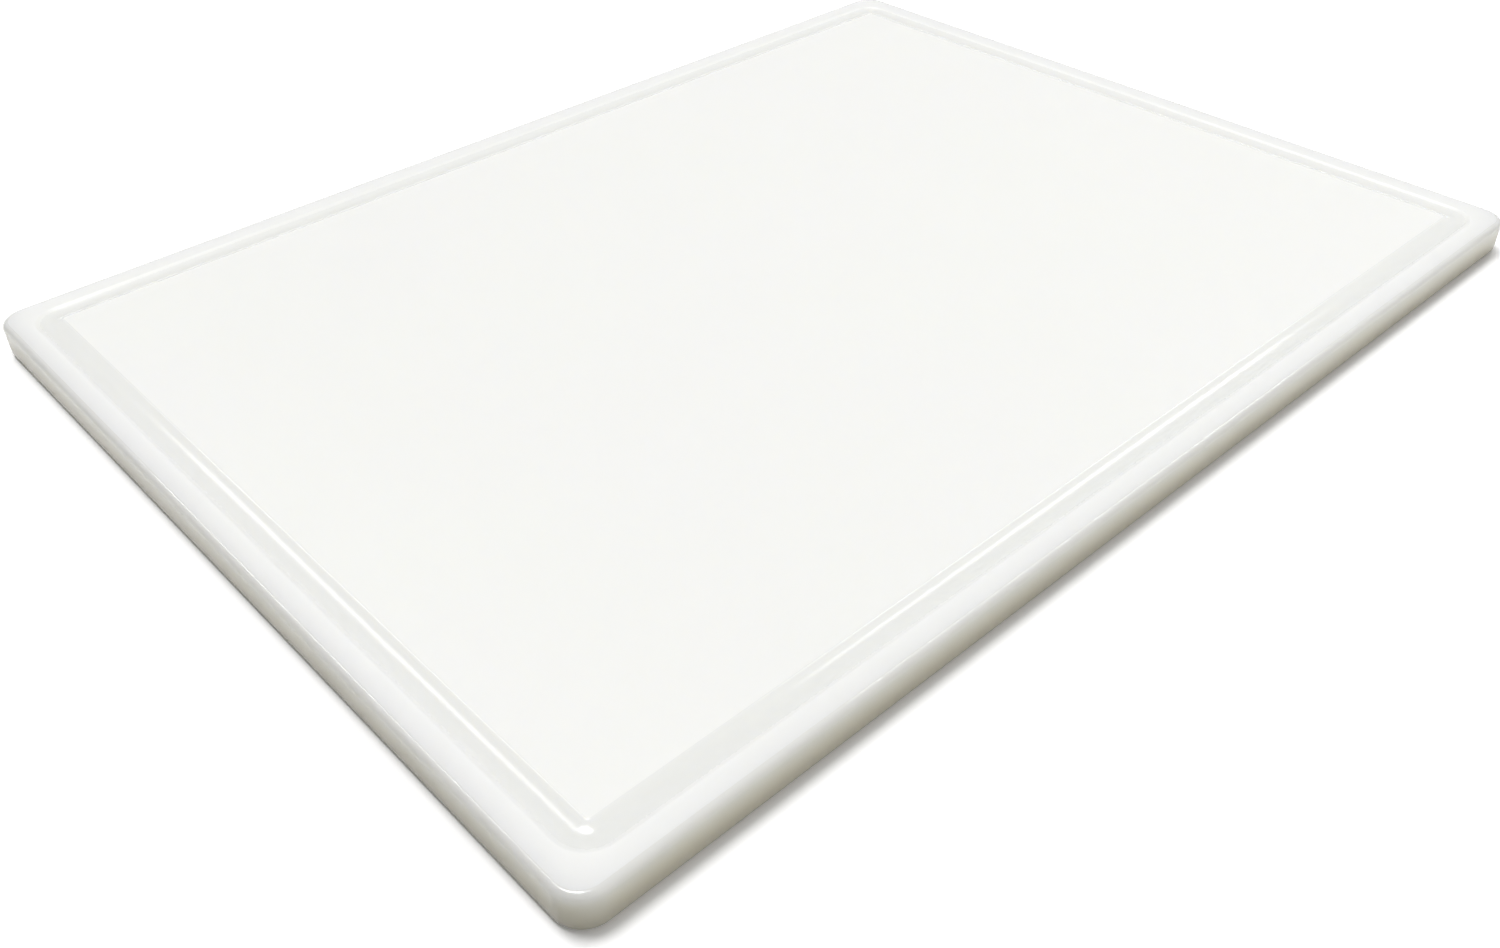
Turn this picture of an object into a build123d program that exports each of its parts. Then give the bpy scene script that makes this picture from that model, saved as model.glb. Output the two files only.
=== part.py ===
"""Cutting board: one slab of white polyethylene with a juice groove milled round its top face.

Millimetres. The origin is the centre of the underside, +X runs along the length,
+Y along the width and +Z up, out of the cutting face.
"""

from build123d import *
import os
from math import sqrt

os.makedirs("parts", exist_ok=True)

# Slab: 24 by 18 inches, sawn from a 3/4 inch sheet that is skimmed flat on both faces
board_length = 609.6
board_width = 457.2
board_thickness = 17.5
corner_radius = 12.7
edge_round = 2.8

# Juice groove: one pass of a round-nosed cutter along a rounded rectangle
cutter_radius = 12.7
groove_depth = 1.5875
groove_inset = 17.5
groove_corner_radius = 8.0
lip_round = 2.0

# Worked out from those
groove_half_width = sqrt(cutter_radius**2 - (cutter_radius - groove_depth) ** 2)
groove_length = board_length - 2 * groove_inset
groove_width = board_width - 2 * groove_inset

# Building aids: how far the cut reaches above the face, and how closely an edge must lie on it
waste_height = 1.0
on_face = 0.01

with BuildPart() as board:
    # Slab with round corners, its top and bottom edges eased all round
    with BuildSketch():
        RectangleRounded(board_length, board_width, corner_radius)
    extrude(amount=board_thickness)
    top_edges = board.faces().sort_by(Axis.Z)[-1].edges()
    bottom_edges = board.faces().sort_by(Axis.Z)[0].edges()
    fillet(top_edges + bottom_edges, radius=edge_round)

    # Line that the tip of the cutter follows, drawn on the cutting face
    with BuildSketch(Plane.XY.offset(board_thickness), mode=Mode.PRIVATE) as groove_plan:
        RectangleRounded(groove_length, groove_width, groove_corner_radius)
    groove_line = groove_plan.sketch.wire()

    # Section of the cut: the cutter's round nose, closed a little above the face
    start_plane = Plane(origin=groove_line @ 0, x_dir=(0, 0, 1), z_dir=groove_line % 0)
    with BuildSketch(start_plane) as groove_section:
        with BuildLine():
            nose = ThreePointArc((0, -groove_half_width), (-groove_depth, 0), (0, groove_half_width))
            Polyline(
                nose @ 1,
                (waste_height, groove_half_width),
                (waste_height, -groove_half_width),
                nose @ 0,
            )
        make_face()
    sweep(groove_section.sketch, path=groove_line, mode=Mode.SUBTRACT)

    # Both lips of the groove, broken with a scraper
    lip_edges = board.edges(Select.LAST).filter_by_position(
        Axis.Z, board_thickness - on_face, board_thickness + on_face
    )
    fillet(lip_edges, radius=lip_round)

board.part.label = "board"
export_step(board.part, "parts/board.step")
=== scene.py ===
"""Looks of the cutting board: the milled polyethylene slab, its floor, its soft lights and its camera."""

import math

import bmesh
import bpy
import numpy as np
from bpy.props import FloatProperty, FloatVectorProperty, IntProperty, PointerProperty
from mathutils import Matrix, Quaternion, Vector


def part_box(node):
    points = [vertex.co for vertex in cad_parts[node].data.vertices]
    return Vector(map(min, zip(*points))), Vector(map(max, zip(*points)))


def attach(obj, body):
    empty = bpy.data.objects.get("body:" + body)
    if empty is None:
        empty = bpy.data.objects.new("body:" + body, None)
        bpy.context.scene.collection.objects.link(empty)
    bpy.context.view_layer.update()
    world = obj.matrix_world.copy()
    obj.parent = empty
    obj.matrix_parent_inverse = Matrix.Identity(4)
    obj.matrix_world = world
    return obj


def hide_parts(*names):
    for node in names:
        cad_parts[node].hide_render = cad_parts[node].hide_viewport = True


bl_info = {
    "name": "Cutting Board",
    "version": (1, 0, 0),
    "blender": (4, 5, 0),
    "location": "3D View > Sidebar > Cutting Board",
    "description": "Makes a white polyethylene cutting board with a juice groove, and a soft studio for it",
    "category": "Add Mesh",
}

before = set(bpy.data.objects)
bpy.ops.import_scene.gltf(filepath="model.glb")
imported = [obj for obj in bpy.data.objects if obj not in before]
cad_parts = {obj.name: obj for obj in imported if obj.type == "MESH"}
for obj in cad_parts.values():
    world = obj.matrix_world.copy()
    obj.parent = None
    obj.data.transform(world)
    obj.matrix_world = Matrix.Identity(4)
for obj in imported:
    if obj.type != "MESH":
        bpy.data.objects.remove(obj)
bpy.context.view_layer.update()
board_low, board_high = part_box("board")

MILLIMETRE = 0.001


class CUTTINGBOARD_PG_slab(bpy.types.PropertyGroup):
    """Sizes of the slab and its groove. Length, width and thickness come from the frame."""

    corner_radius: FloatProperty(
        name="Corner radius",
        description="Radius of the four corners, seen from above",
        default=12.7 * MILLIMETRE,
        min=0.0,
        unit="LENGTH",
        precision=4,
    )
    edge_round: FloatProperty(
        name="Edge rounding",
        description="Radius of the eased top and bottom edges",
        default=2.8 * MILLIMETRE,
        min=0.0,
        unit="LENGTH",
        precision=4,
    )
    cutter_radius: FloatProperty(
        name="Cutter radius",
        description="Radius of the round-nosed cutter that made the groove",
        default=12.7 * MILLIMETRE,
        min=0.0,
        unit="LENGTH",
        precision=4,
    )
    groove_depth: FloatProperty(
        name="Groove depth",
        description="Depth of the groove at its middle",
        default=1.5875 * MILLIMETRE,
        min=0.0,
        unit="LENGTH",
        precision=4,
    )
    groove_inset: FloatProperty(
        name="Groove inset",
        description="Distance from the side of the board to the middle of the groove",
        default=17.5 * MILLIMETRE,
        min=0.0,
        unit="LENGTH",
        precision=4,
    )
    groove_corner_radius: FloatProperty(
        name="Groove corner radius",
        description="Radius of the groove's middle line at the corners",
        default=8.0 * MILLIMETRE,
        min=0.0,
        unit="LENGTH",
        precision=4,
    )
    lip_round: FloatProperty(
        name="Lip rounding",
        description="Radius of the broken edges on both sides of the groove",
        default=2.0 * MILLIMETRE,
        min=0.0,
        unit="LENGTH",
        precision=4,
    )
    face_steps: IntProperty(
        name="Steps across a face",
        description="Strips of faces from the middle of the top to the groove, and across the underside",
        default=16,
        min=2,
    )
    rim_steps: IntProperty(
        name="Steps across the rim",
        description="Strips of faces between the groove and the eased edge",
        default=12,
        min=2,
    )
    wall_steps: IntProperty(
        name="Steps up a side",
        description="Strips of faces between the eased edges of a side",
        default=14,
        min=2,
    )
    arc_steps: IntProperty(
        name="Steps round an edge",
        description="Strips of faces round each eased edge",
        default=12,
        min=2,
    )
    lip_steps: IntProperty(
        name="Steps round a lip",
        description="Strips of faces round each lip of the groove",
        default=6,
        min=2,
    )
    groove_steps: IntProperty(
        name="Steps across the groove",
        description="Strips of faces across the groove between its lips",
        default=32,
        min=4,
    )
    side_steps: IntProperty(
        name="Steps along a side",
        description="Strips of faces along each straight side",
        default=40,
        min=4,
    )
    corner_steps: IntProperty(
        name="Steps round a corner",
        description="Strips of faces round each corner",
        default=24,
        min=4,
    )


class CUTTINGBOARD_PG_plastic(bpy.types.PropertyGroup):
    """Finish of the white polyethylene, with painted shade in the groove and towards the foot of the sides.
    """

    colour: FloatVectorProperty(
        name="Colour",
        description="Colour of the plastic",
        default=(0.928, 0.933, 0.890),
        subtype="COLOR",
        min=0.0,
        max=1.0,
    )
    # Painted shade: the darker, warmer colour that the sides fade to at their foot.
    foot_shade_colour: FloatVectorProperty(
        name="Side tint",
        description="How much of each colour is left at the foot of the sides, where they are dullest",
        default=(0.79, 0.72, 0.56),
        subtype="COLOR",
        min=0.0,
        max=1.0,
    )
    scatter_depth: FloatProperty(
        name="Scatter depth",
        description="How far light travels inside the plastic",
        default=24.0 * MILLIMETRE,
        min=0.0,
        unit="LENGTH",
        precision=4,
    )
    scatter_tint: FloatVectorProperty(
        name="Scatter tint",
        description="How far red, green and blue travel, as shares of the depth",
        default=(1.0, 0.98, 0.9),
        min=0.0,
        max=1.0,
    )
    roughness: FloatProperty(
        name="Roughness",
        description="Roughness of the pressed faces",
        default=0.38,
        subtype="FACTOR",
        min=0.0,
        max=1.0,
    )
    groove_gloss: FloatProperty(
        name="Groove gloss",
        description="How much smoother the milled groove is",
        default=0.21,
        min=0.0,
    )
    side_gloss: FloatProperty(
        name="Side gloss",
        description="How much smoother the sides and their eased edges are",
        default=0.26,
        min=0.0,
    )
    # Painted shade: share of the colour kept in the groove, which is darkened as if shade fell in it.
    groove_shade: FloatProperty(
        name="Groove tone",
        description="Share of the colour that the milled groove keeps",
        default=0.945,
        min=0.0,
    )
    cloud_scale: FloatProperty(
        name="Clouds to the metre",
        description="Fineness of the faint unevenness of tone",
        default=9.0,
        min=0.0,
    )
    grain_scale: FloatProperty(
        name="Grains to the metre",
        description="Fineness of the pressed grain",
        default=900.0,
        min=0.0,
    )
    grain_height: FloatProperty(
        name="Grain height",
        description="Height of the pressed grain, in millimetres",
        default=0.012,
        min=0.0,
    )
    swell_scale: FloatProperty(
        name="Swells to the metre",
        description="Fineness of the sheet's waviness",
        default=30.0,
        min=0.0,
    )
    swell_height: FloatProperty(
        name="Swell height",
        description="Height of the sheet's waviness, in millimetres",
        default=0.05,
        min=0.0,
    )
    groove_mark_height: FloatProperty(
        name="Groove mark height",
        description="Height of the cutter's marks, in millimetres",
        default=0.004,
        min=0.0,
    )
    side_mark_height: FloatProperty(
        name="Side mark height",
        description="Height of the saw's marks on the sides, in millimetres",
        default=0.006,
        min=0.0,
    )


class CUTTINGBOARD_PG_stage(bpy.types.PropertyGroup):
    """Floor, lights and camera."""

    floor_colour: FloatVectorProperty(
        name="Floor colour",
        description="Colour of the plain floor",
        default=(0.93, 0.93, 0.93),
        subtype="COLOR",
        min=0.0,
        max=1.0,
    )
    floor_size: FloatProperty(
        name="Floor size",
        description="Length of each side of the floor",
        default=16.0,
        unit="LENGTH",
    )
    floor_glow: FloatProperty(
        name="Floor glow",
        description="How many times brighter than its colour the floor shows, so that it stays white",
        default=1.25,
        min=0.0,
    )
    overhead_strength: FloatProperty(
        name="Overhead light",
        description="Strength of the soft light above the board",
        default=1.62,
    )
    overhead_angle: FloatProperty(
        name="Overhead light width",
        description="How wide the overhead light looks from the board",
        default=math.radians(20),
        subtype="ANGLE",
    )
    overhead_lean: FloatProperty(
        name="Overhead light lean",
        description="How far the overhead light leans from straight above towards the back left",
        default=math.radians(15),
        subtype="ANGLE",
    )
    softbox_strength: FloatProperty(
        name="Softboxes",
        description="How strongly each of the two softboxes behind the board lights it",
        default=0.43,
    )
    left_distance: FloatProperty(
        name="Left softbox distance",
        description="Distance from the middle of the board to the softbox behind it on the left",
        default=2.4,
        unit="LENGTH",
    )
    right_distance: FloatProperty(
        name="Right softbox distance",
        description="Distance from the middle of the board to the softbox behind it on the right",
        default=1.6,
        unit="LENGTH",
    )
    left_bearing: FloatProperty(
        name="Left softbox bearing",
        description="Direction of the left softbox from the middle of the board, turning from +X to +Y",
        default=math.radians(98.7),
        subtype="ANGLE",
    )
    right_bearing: FloatProperty(
        name="Right softbox bearing",
        description="Direction of the right softbox from the middle of the board, turning from +X to +Y",
        default=math.radians(-2.2),
        subtype="ANGLE",
    )
    softbox_height: FloatProperty(
        name="Softbox elevation",
        description="Angle of each softbox above the floor",
        default=math.radians(51),
        subtype="ANGLE",
    )
    softbox_width: FloatProperty(
        name="Softbox width",
        description="How wide each softbox looks from the board",
        default=math.radians(10),
        subtype="ANGLE",
    )
    softbox_reach: FloatProperty(
        name="Softbox reach",
        description="How tall each softbox looks from the board",
        default=math.radians(30),
        subtype="ANGLE",
    )
    fill_strength: FloatProperty(
        name="Front fill",
        description="How strongly the low, broad light in front of the board lights its long side",
        default=0.5,
    )
    fill_distance: FloatProperty(
        name="Front fill distance",
        description="Distance from the middle of the board to the front fill",
        default=2.4,
        unit="LENGTH",
    )
    fill_height: FloatProperty(
        name="Front fill elevation",
        description="Angle of the front fill above the floor",
        default=math.radians(15),
        subtype="ANGLE",
    )
    fill_bearing: FloatProperty(
        name="Front fill bearing",
        description="Direction of the front fill from the middle of the board, turning from +X to +Y",
        default=math.radians(-103),
        subtype="ANGLE",
    )
    fill_width: FloatProperty(
        name="Front fill width",
        description="How wide the front fill looks from the board",
        default=math.radians(53),
        subtype="ANGLE",
    )
    fill_reach: FloatProperty(
        name="Front fill reach",
        description="How tall the front fill looks from the board",
        default=math.radians(21),
        subtype="ANGLE",
    )
    room_strength: FloatProperty(
        name="Room light",
        description="Strength of the light from above the horizon",
        default=0.35,
    )
    room_lean: FloatProperty(
        name="Room light lean",
        description="How much stronger the room light is from the right than from the middle",
        default=0.4,
        subtype="FACTOR",
        min=0.0,
        max=1.0,
    )
    under_strength: FloatProperty(
        name="Light from below",
        description="Strength of the light from below the horizon, which fades from the back to the front",
        default=1.0,
    )
    lens: FloatProperty(
        name="Lens",
        description="Focal length of the camera",
        default=34.14,
        unit="CAMERA",
    )
    camera_azimuth: FloatProperty(
        name="Camera azimuth",
        description="Turn of the camera round the board, from straight in front",
        default=math.radians(-42.19),
        subtype="ANGLE",
    )
    camera_elevation: FloatProperty(
        name="Camera elevation",
        description="Angle of the camera above the floor",
        default=math.radians(38.27),
        subtype="ANGLE",
    )
    camera_roll: FloatProperty(
        name="Camera roll",
        description="Turn of the camera about its line of sight",
        default=math.radians(1.12),
        subtype="ANGLE",
    )
    camera_aim: FloatVectorProperty(
        name="Camera aim",
        description="Point that the camera looks at, in lengths of the board from its middle",
        default=(-0.1824, -0.1573, 0.0),
    )
    camera_distance: FloatProperty(
        name="Camera distance",
        description="Distance from the camera to the point that it looks at, in lengths of the board",
        default=0.9945,
        min=0.0,
    )


def spaced(start, end, steps):
    """Values from start to end, closer together at both ends, as half a cosine wave spaces them."""
    share = (1 - np.cos(np.linspace(0, math.pi, steps + 1))) / 2
    return start + (end - start) * share


def closing_in(start, end, steps, growth=1.6):
    """Values from start to end whose spacing shrinks towards end by the same factor each step."""
    gaps = growth ** np.arange(steps, 0, -1.0)
    share = np.concatenate([[0.0], np.cumsum(gaps)]) / gaps.sum()
    return start + (end - start) * share


def slab_profile(sizes, half_width, thickness):
    """Section of the slab from the middle of the top face, over the groove and the side, to the
    middle of the underside, as arrays of inset from the side, height, corner radius, how much of
    the groove's finish and painted shade a point has, and how much of the sides' finish and
    painted shade.

    The groove is an arc of the cutter's radius about a point above the face. Each lip is an arc
    that touches the face and the groove: its centre is lip_round under the face and
    cutter_radius + lip_round from the cutter's centre. The eased edges are quarter circles. The
    groove's finish and its painted shade ease in evenly from the outer lip and are full a little
    before the middle.
    """
    full_finish_and_shade = 0.6
    cutter_height = thickness - sizes.groove_depth + sizes.cutter_radius
    reach = sizes.cutter_radius + sizes.lip_round
    lip_height = thickness - sizes.lip_round
    lip_offset = math.sqrt(reach**2 - (cutter_height - lip_height) ** 2)
    slope = math.asin(lip_offset / reach)
    edge = sizes.edge_round

    inner_lip = sizes.groove_inset + lip_offset
    outer_lip = sizes.groove_inset - lip_offset
    lip_turn = np.linspace(0, slope, sizes.lip_steps + 1)
    groove_turn = np.linspace(slope, -slope, sizes.groove_steps + 1)
    edge_turn = np.linspace(0, math.pi / 2, sizes.arc_steps + 1)

    face = closing_in(half_width, inner_lip, sizes.face_steps)
    rim = spaced(outer_lip, edge, sizes.rim_steps)
    side = spaced(thickness - edge, edge, sizes.wall_steps)
    base = closing_in(half_width, edge, sizes.face_steps)[::-1]
    parts = [
        (face, np.full_like(face, thickness)),
        (inner_lip - sizes.lip_round * np.sin(lip_turn), lip_height + sizes.lip_round * np.cos(lip_turn)),
        (
            sizes.groove_inset + sizes.cutter_radius * np.sin(groove_turn),
            cutter_height - sizes.cutter_radius * np.cos(groove_turn),
        ),
        (
            outer_lip + sizes.lip_round * np.sin(lip_turn[::-1]),
            lip_height + sizes.lip_round * np.cos(lip_turn[::-1]),
        ),
        (rim, np.full_like(rim, thickness)),
        (edge - edge * np.sin(edge_turn), thickness - edge + edge * np.cos(edge_turn)),
        (np.zeros_like(side), side),
        (edge - edge * np.cos(edge_turn), edge - edge * np.sin(edge_turn)),
        (base, np.zeros_like(base)),
    ]
    inset = np.concatenate([part[0][:-1] for part in parts] + [parts[-1][0][-1:]])
    height = np.concatenate([part[1][:-1] for part in parts] + [parts[-1][1][-1:]])

    counts = np.cumsum([0] + [len(part[0]) - 1 for part in parts])
    top = np.arange(len(inset)) < counts[5]
    known_inset = [edge, outer_lip, inner_lip, half_width]
    groove_radius = sizes.groove_corner_radius + sizes.groove_inset
    top_radius = np.interp(
        inset,
        known_inset,
        [sizes.corner_radius - edge, groove_radius - outer_lip, groove_radius - inner_lip, 0.0],
    )
    low_radius = np.interp(inset, [0.0, sizes.corner_radius], [sizes.corner_radius, 0.0])
    radius = np.where(top, top_radius, low_radius)
    groove = np.zeros(len(inset))
    milled = slice(counts[1], counts[4] + 1)
    groove[milled] = np.clip((inset[milled] - outer_lip) / (full_finish_and_shade * lip_offset), 0, 1)
    side_mask = np.zeros(len(inset))
    side_mask[counts[5] : counts[8] + 1] = 1.0
    return inset, height, radius, groove, side_mask


def round_the_slab(sizes):
    """Weights of the corner centres and outward directions for one trip round a rounded
    rectangle, counter-clockwise from the right end of the top side.

    A point of the outline is weight * (half size - radius) + direction * radius. On a straight
    side the direction stands still and the weight runs from one corner to the next; round a
    corner the weight stands still and the direction turns by a quarter.
    """
    run = spaced(1, -1, sizes.side_steps)
    turn = np.linspace(0, math.pi / 2, sizes.corner_steps + 1)
    weights, directions = [], []
    for quarter in range(4):
        angle = math.pi / 2 * (quarter + 1)
        across = np.array([math.cos(angle), math.sin(angle)])
        ahead = np.array([-across[1], across[0]])
        corner = turn + angle
        weights.append(across - np.outer(run[:-1], ahead))
        weights.append(np.tile(across + ahead, (len(turn) - 1, 1)))
        directions.append(np.tile(across, (len(run) - 1, 1)))
        directions.append(np.stack([np.cos(corner), np.sin(corner)], 1)[:-1])
    return np.concatenate(weights), np.concatenate(directions)


def slab_mesh(sizes):
    """Mesh of the slab: its section carried round the rounded rectangle, ring by ring, with the
    innermost rings of the top and the underside closed along the board's middle line."""
    half_length = (board_high.x - board_low.x) / 2
    half_width = (board_high.y - board_low.y) / 2
    thickness = board_high.z - board_low.z
    inset, height, radius, groove, side = slab_profile(sizes, half_width, thickness)
    weight, direction = round_the_slab(sizes)

    x = np.outer(half_length - inset - radius, weight[:, 0]) + np.outer(radius, direction[:, 0])
    y = np.outer(half_width - inset - radius, weight[:, 1]) + np.outer(radius, direction[:, 1])
    z = np.repeat(height[:, None], len(weight), axis=1)
    points = np.stack([x, y, z + board_low.z], 2)
    rings, around = x.shape

    index = np.arange(rings * around).reshape(rings, around)
    ahead = np.roll(index, -1, axis=1)
    quads = np.stack([index[:-1], index[1:], ahead[1:], ahead[:-1]], 2).reshape(-1, 4)

    across = np.concatenate([[0.0], np.cumsum(np.hypot(np.diff(inset), np.diff(height)))])
    step = np.linalg.norm(np.diff(points[rings // 2], axis=0, append=points[rings // 2][:1]), axis=1)
    along = np.concatenate([[0.0], np.cumsum(step)])
    next_along = np.arange(around) + 1
    corner_along = np.stack([along[:-1], along[:-1], along[next_along], along[next_along]], 1)
    corner_across = np.stack([across[:-1], across[1:], across[1:], across[:-1]], 1)
    surface = np.empty((rings - 1, around, 4, 2))
    surface[..., 0] = corner_along[None]
    surface[..., 1] = corner_across[:, None]

    mesh = bpy.data.meshes.new("board_slab")
    mesh.from_pydata(points.reshape(-1, 3).tolist(), [], quads.tolist())
    mesh.uv_layers.new(name="Surface").data.foreach_set("uv", surface.astype(np.float32).ravel())
    for name, mask in (("groove", groove), ("side", side)):
        attribute = mesh.attributes.new(name, "FLOAT", "POINT")
        attribute.data.foreach_set("value", np.repeat(mask, around).astype(np.float32))
    close_seams(mesh)
    mesh.shade_smooth()
    return mesh


def close_seams(mesh):
    """Merges the points that lie on each other where a surface closes."""
    work = bmesh.new()
    work.from_mesh(mesh)
    bmesh.ops.remove_doubles(work, verts=work.verts, dist=1e-6)
    bmesh.ops.dissolve_degenerate(work, edges=work.edges, dist=1e-7)
    work.to_mesh(mesh)
    work.free()
    mesh.update()


class Socket:
    """An output of a shader node. Arithmetic on it adds Math nodes to the same material."""

    def __init__(self, finish, output):
        self.finish = finish
        self.output = output

    def math(self, operation, *values):
        return self.finish.node("ShaderNodeMath", {"operation": operation}, dict(enumerate(values)))

    def __add__(self, other):
        return self.math("ADD", self, other)

    __radd__ = __add__

    def __mul__(self, other):
        return self.math("MULTIPLY", self, other)

    __rmul__ = __mul__

    def __sub__(self, other):
        return self.math("SUBTRACT", self, other)

    def __rsub__(self, other):
        return self.math("SUBTRACT", other, self)


class Finish:
    """A material or a world that is built node by node."""

    def __init__(self, owner):
        owner.use_nodes = True
        self.owner = owner
        self.tree = owner.node_tree
        self.tree.nodes.clear()

    def node(self, kind, settings=None, inputs=None, output=0):
        """Adds a node, sets it up, fills its sockets with values or links, and gives one output."""
        made = self.tree.nodes.new(kind)
        for name, value in (settings or {}).items():
            setattr(made, name, value)
        for name, value in (inputs or {}).items():
            if isinstance(value, Socket):
                self.tree.links.new(value.output, made.inputs[name])
            else:
                made.inputs[name].default_value = value
        return Socket(self, made.outputs[output]) if made.outputs else None

    def noise(self, place, scale, detail=2.0, roughness=0.5):
        """Noise about zero, from -0.5 to 0.5, with scale features to the metre."""
        inputs = {"Vector": place, "Scale": scale, "Detail": detail, "Roughness": roughness}
        return self.node("ShaderNodeTexNoise", None, inputs) - 0.5

    def stretched(self, place, factors):
        """A place with each of its coordinates multiplied by a factor."""
        return self.node("ShaderNodeVectorMath", {"operation": "MULTIPLY"}, {0: place, 1: factors})

    def mix_colours(self, share, first, second):
        """A colour between two, by a share from 0 to 1."""
        return self.node("ShaderNodeMix", {"data_type": "RGBA"}, {0: share, 6: first, 7: second}, 2)


def white_polyethylene(look):
    """Satin white polyethylene: pressed grain on the flats, tool marks on the milled surfaces, and painted
    shade in the groove and towards the foot of the sides.
    """
    finish = Finish(bpy.data.materials.new("white_polyethylene"))
    place = finish.node("ShaderNodeTexCoord", output="Object")
    surface = finish.node("ShaderNodeUVMap", {"uv_map": "Surface"})
    groove = finish.node("ShaderNodeAttribute", {"attribute_name": "groove"}, output="Fac")
    side = finish.node("ShaderNodeAttribute", {"attribute_name": "side"}, output="Fac")

    clouding = finish.noise(place, look.cloud_scale, 3.0)
    grain = finish.noise(place, look.grain_scale, 2.0)
    waviness = finish.noise(place, look.swell_scale, 1.0)
    groove_marks = finish.noise(finish.stretched(surface, (6.0, 2500.0, 1.0)), 1.0, 2.0)
    side_marks = finish.noise(finish.stretched(surface, (1200.0, 40.0, 1.0)), 1.0, 2.0)

    colour = tuple(look.colour)
    deep = tuple(channel * share for channel, share in zip(colour, (0.975, 0.975, 0.955)))
    share = clouding * 0.9 + grain * 0.3 + 0.5
    flats = finish.mix_colours(share, (*colour, 1.0), (*deep, 1.0))
    # Painted shade: the groove's colour is darkened by the groove mask, easing in from the outer lip.
    milled = finish.mix_colours(groove, flats, (*(channel * look.groove_shade for channel in colour), 1.0))
    height = finish.node("ShaderNodeSeparateXYZ", None, {"Vector": place}, "Z")
    # Painted shade: the sides grow darker and warmer towards their foot, and are a little tinted even at the
    # top.
    foot = 1.0 - (height - board_low.z) * (1 / (board_high.z - board_low.z))
    painted_foot_shade = tuple(channel * share for channel, share in zip(colour, look.foot_shade_colour))
    base = finish.mix_colours(side * (foot * 0.85 + 0.15), milled, (*painted_foot_shade, 1.0))

    gloss = groove * look.groove_gloss + side * look.side_gloss
    roughness = look.roughness + clouding * 0.10 + grain * 0.10 - gloss
    pressed = grain * (1.0 - groove) * look.grain_height + waviness * (1.0 - side) * look.swell_height
    cut = groove * groove_marks * look.groove_mark_height + side * side_marks * look.side_mark_height
    relief = pressed + cut
    normal = finish.node("ShaderNodeBump", None, {"Strength": 1.0, "Distance": MILLIMETRE, "Height": relief})

    shader = finish.node(
        "ShaderNodeBsdfPrincipled",
        {"subsurface_method": "RANDOM_WALK"},
        {
            "Base Color": base,
            "Roughness": roughness,
            "Normal": normal,
            "IOR": 1.5,
            "Subsurface Weight": 1.0,
            "Subsurface Radius": tuple(look.scatter_tint),
            "Subsurface Scale": look.scatter_depth,
        },
    )
    finish.node("ShaderNodeOutputMaterial", None, {"Surface": shader})
    return finish.owner


def plain_floor(colour, glow):
    """Matt white floor with a faint unevenness of tone."""
    finish = Finish(bpy.data.materials.new("plain_floor"))
    place = finish.node("ShaderNodeTexCoord", output="Object")
    clouding = finish.noise(place, 1.5, 1.0)
    bright = tuple(channel * glow for channel in colour)
    darker = tuple(channel * 0.99 for channel in bright)
    base = finish.mix_colours(clouding + 0.5, (*bright, 1.0), (*darker, 1.0))
    shader = finish.node("ShaderNodeBsdfDiffuse", None, {"Color": base, "Roughness": 0.0})
    finish.node("ShaderNodeOutputMaterial", None, {"Surface": shader})
    return finish.owner


def white_room(settings):
    """White surroundings. Above the horizon their light grows evenly from left to right. Below it,
    it stands for what a white table throws back: it grows with the third power towards the back,
    where nothing shades the table."""
    finish = Finish(bpy.data.worlds.new("room"))
    seen = finish.node("ShaderNodeLightPath", output="Is Camera Ray")
    direction = finish.node("ShaderNodeTexCoord", output="Object")
    right = finish.node("ShaderNodeSeparateXYZ", None, {"Vector": direction}, "X")
    height = finish.node("ShaderNodeSeparateXYZ", None, {"Vector": direction}, "Z")
    inputs = {0: direction, 1: (math.sqrt(0.5), math.sqrt(0.5), 0.0)}
    toward_back = finish.node("ShaderNodeVectorMath", {"operation": "DOT_PRODUCT"}, inputs, "Value")
    share = toward_back * 0.5 + 0.5
    below = share * share * share * settings.under_strength
    above = height.math("GREATER_THAN", height, 0.0)
    room = (right * settings.room_lean + 1.0) * settings.room_strength
    light = above * room + (1.0 - above) * below
    strength = seen + (1.0 - seen) * light
    white = (1.0, 1.0, 1.0, 1.0)
    background = finish.node("ShaderNodeBackground", None, {"Color": white, "Strength": strength})
    finish.node("ShaderNodeOutputWorld", None, {"Surface": background})
    return finish.owner


def link(name, data):
    """A new object in the scene's collection."""
    made = bpy.data.objects.new(name, data)
    bpy.context.scene.collection.objects.link(made)
    return made


class CUTTINGBOARD_OT_slab(bpy.types.Operator):
    """Make the board: the slab with its juice groove, in white polyethylene"""

    bl_idname = "cutting_board.slab"
    bl_label = "Board"

    def execute(self, context):
        settings = context.scene
        mesh = slab_mesh(settings.cutting_board_slab)
        mesh.materials.append(white_polyethylene(settings.cutting_board_plastic))
        board = link("board_slab", mesh)
        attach(board, "root")
        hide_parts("board")
        return {"FINISHED"}


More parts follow.
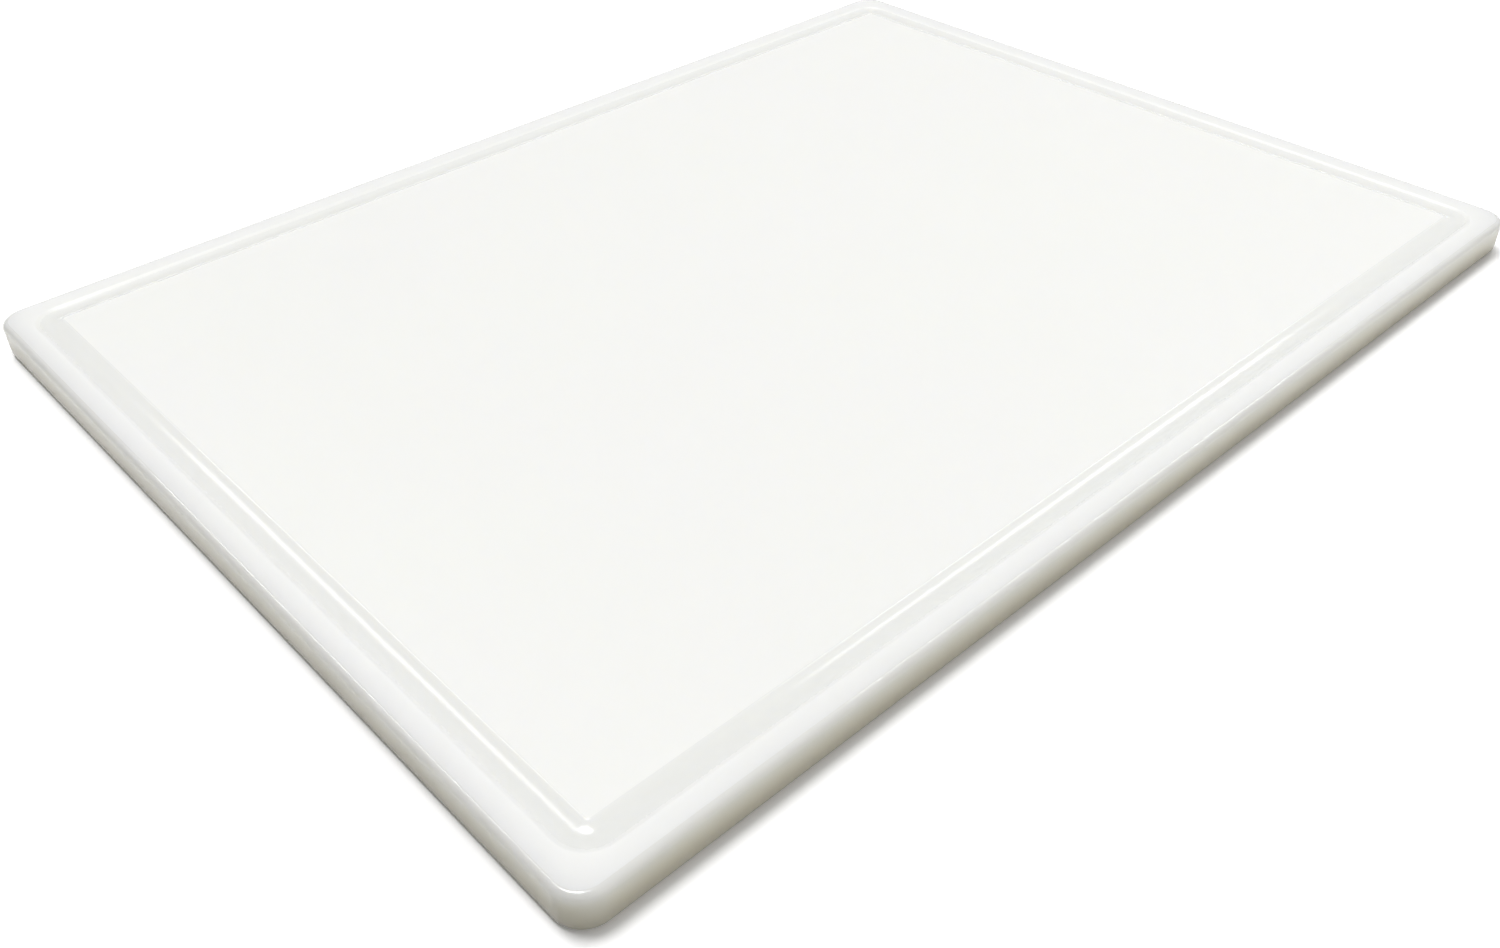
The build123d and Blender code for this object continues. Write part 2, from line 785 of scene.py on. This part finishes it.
class CUTTINGBOARD_OT_stage(bpy.types.Operator):
    """Make the stage: a plain floor, soft lights and the camera"""

    bl_idname = "cutting_board.stage"
    bl_label = "Stage"

    def execute(self, context):
        settings = context.scene.cutting_board_stage
        self.floor(settings)
        self.lights(settings)
        self.camera(settings)
        return {"FINISHED"}

    def floor(self, settings):
        half = settings.floor_size / 2
        mesh = bpy.data.meshes.new("floor")
        corners = [(-half, -half, 0.0), (half, -half, 0.0), (half, half, 0.0), (-half, half, 0.0)]
        mesh.from_pydata(corners, [], [(0, 1, 2, 3)])
        mesh.materials.append(plain_floor(tuple(settings.floor_colour), settings.floor_glow))
        floor = link("floor", mesh)
        floor.visible_diffuse = False

    def lights(self, settings):
        sun = bpy.data.lights.new("overhead_light", "SUN")
        sun.energy = settings.overhead_strength
        sun.angle = settings.overhead_angle
        link("overhead_light", sun).rotation_euler = (-settings.overhead_lean, 0.0, 0.0)
        softboxes = (
            ("left_softbox", settings.left_distance, settings.left_bearing),
            ("right_softbox", settings.right_distance, settings.right_bearing),
        )
        for name, distance, bearing in softboxes:
            away = self.direction(bearing, settings.softbox_height)
            width = self.seen_size(distance, settings.softbox_width)
            reach = self.seen_size(distance, settings.softbox_reach)
            self.panel(name, away * distance, settings.softbox_strength, width, reach)
        away = self.direction(settings.fill_bearing, settings.fill_height)
        width = self.seen_size(settings.fill_distance, settings.fill_width)
        reach = self.seen_size(settings.fill_distance, settings.fill_reach)
        self.panel("front_fill", away * settings.fill_distance, settings.fill_strength, width, reach)
        bpy.context.scene.world = white_room(settings)
        bpy.context.scene.view_settings.view_transform = "Standard"

    def direction(self, bearing, elevation):
        """Direction at a bearing, counter-clockwise from +X, and an angle above the floor."""
        level = math.cos(elevation)
        return Vector((math.cos(bearing) * level, math.sin(bearing) * level, math.sin(elevation)))

    def seen_size(self, distance, angle):
        """Size of something that looks as wide as an angle from a distance."""
        return 2 * distance * math.tan(angle / 2)

    def panel(self, name, place, strength, width, reach):
        """A rectangular light that faces the middle of the board. Its power grows with the square of
        its distance, so that it lights the board the same from anywhere."""
        data = bpy.data.lights.new(name, "AREA")
        data.shape = "RECTANGLE"
        data.size = width
        data.size_y = reach
        data.energy = strength * math.pi * place.length_squared
        light = link(name, data)
        light.location = place
        light.rotation_euler = place.to_track_quat("Z", "Y").to_euler()
        light.visible_camera = False

    def camera(self, settings):
        """The camera. Straight in front of the board is a bearing a quarter turn back from +X."""
        length = board_high.x - board_low.x
        back = self.direction(settings.camera_azimuth - math.pi / 2, settings.camera_elevation)
        aim = Vector(settings.camera_aim) * length
        data = bpy.data.cameras.new("camera")
        data.sensor_width = 36.0
        data.lens = settings.lens
        data.clip_start = 0.01
        camera = link("camera", data)
        camera.location = aim + back * settings.camera_distance * length
        camera.rotation_mode = "QUATERNION"
        roll = Quaternion((0, 0, 1), -settings.camera_roll)
        camera.rotation_quaternion = (-back).to_track_quat("-Z", "Y") @ roll
        bpy.context.scene.camera = camera


class CUTTINGBOARD_PT_sidebar(bpy.types.Panel):
    """Settings and buttons of the cutting board in the 3D view's sidebar"""

    bl_idname = "CUTTINGBOARD_PT_sidebar"
    bl_label = "Cutting Board"
    bl_space_type = "VIEW_3D"
    bl_region_type = "UI"
    bl_category = "Cutting Board"

    def draw(self, context):
        for name, operator, heading in (
            ("cutting_board_slab", "cutting_board.slab", "Slab"),
            ("cutting_board_plastic", None, "Plastic"),
            ("cutting_board_stage", "cutting_board.stage", "Stage"),
        ):
            box = self.layout.box()
            box.label(text=heading)
            group = getattr(context.scene, name)
            for item in group.bl_rna.properties:
                if item.identifier not in ("rna_type", "name"):
                    box.prop(group, item.identifier)
            if operator:
                box.operator(operator)


CLASSES = (
    CUTTINGBOARD_PG_slab,
    CUTTINGBOARD_PG_plastic,
    CUTTINGBOARD_PG_stage,
    CUTTINGBOARD_OT_slab,
    CUTTINGBOARD_OT_stage,
    CUTTINGBOARD_PT_sidebar,
)


def register():
    for item in CLASSES:
        bpy.utils.register_class(item)
    bpy.types.Scene.cutting_board_slab = PointerProperty(type=CUTTINGBOARD_PG_slab)
    bpy.types.Scene.cutting_board_plastic = PointerProperty(type=CUTTINGBOARD_PG_plastic)
    bpy.types.Scene.cutting_board_stage = PointerProperty(type=CUTTINGBOARD_PG_stage)


def unregister():
    del bpy.types.Scene.cutting_board_stage
    del bpy.types.Scene.cutting_board_plastic
    del bpy.types.Scene.cutting_board_slab
    for item in reversed(CLASSES):
        bpy.utils.unregister_class(item)


def main():
    """Makes everything."""
    register()
    bpy.ops.cutting_board.slab()
    bpy.ops.cutting_board.stage()


if __name__ == "__main__":
    main()
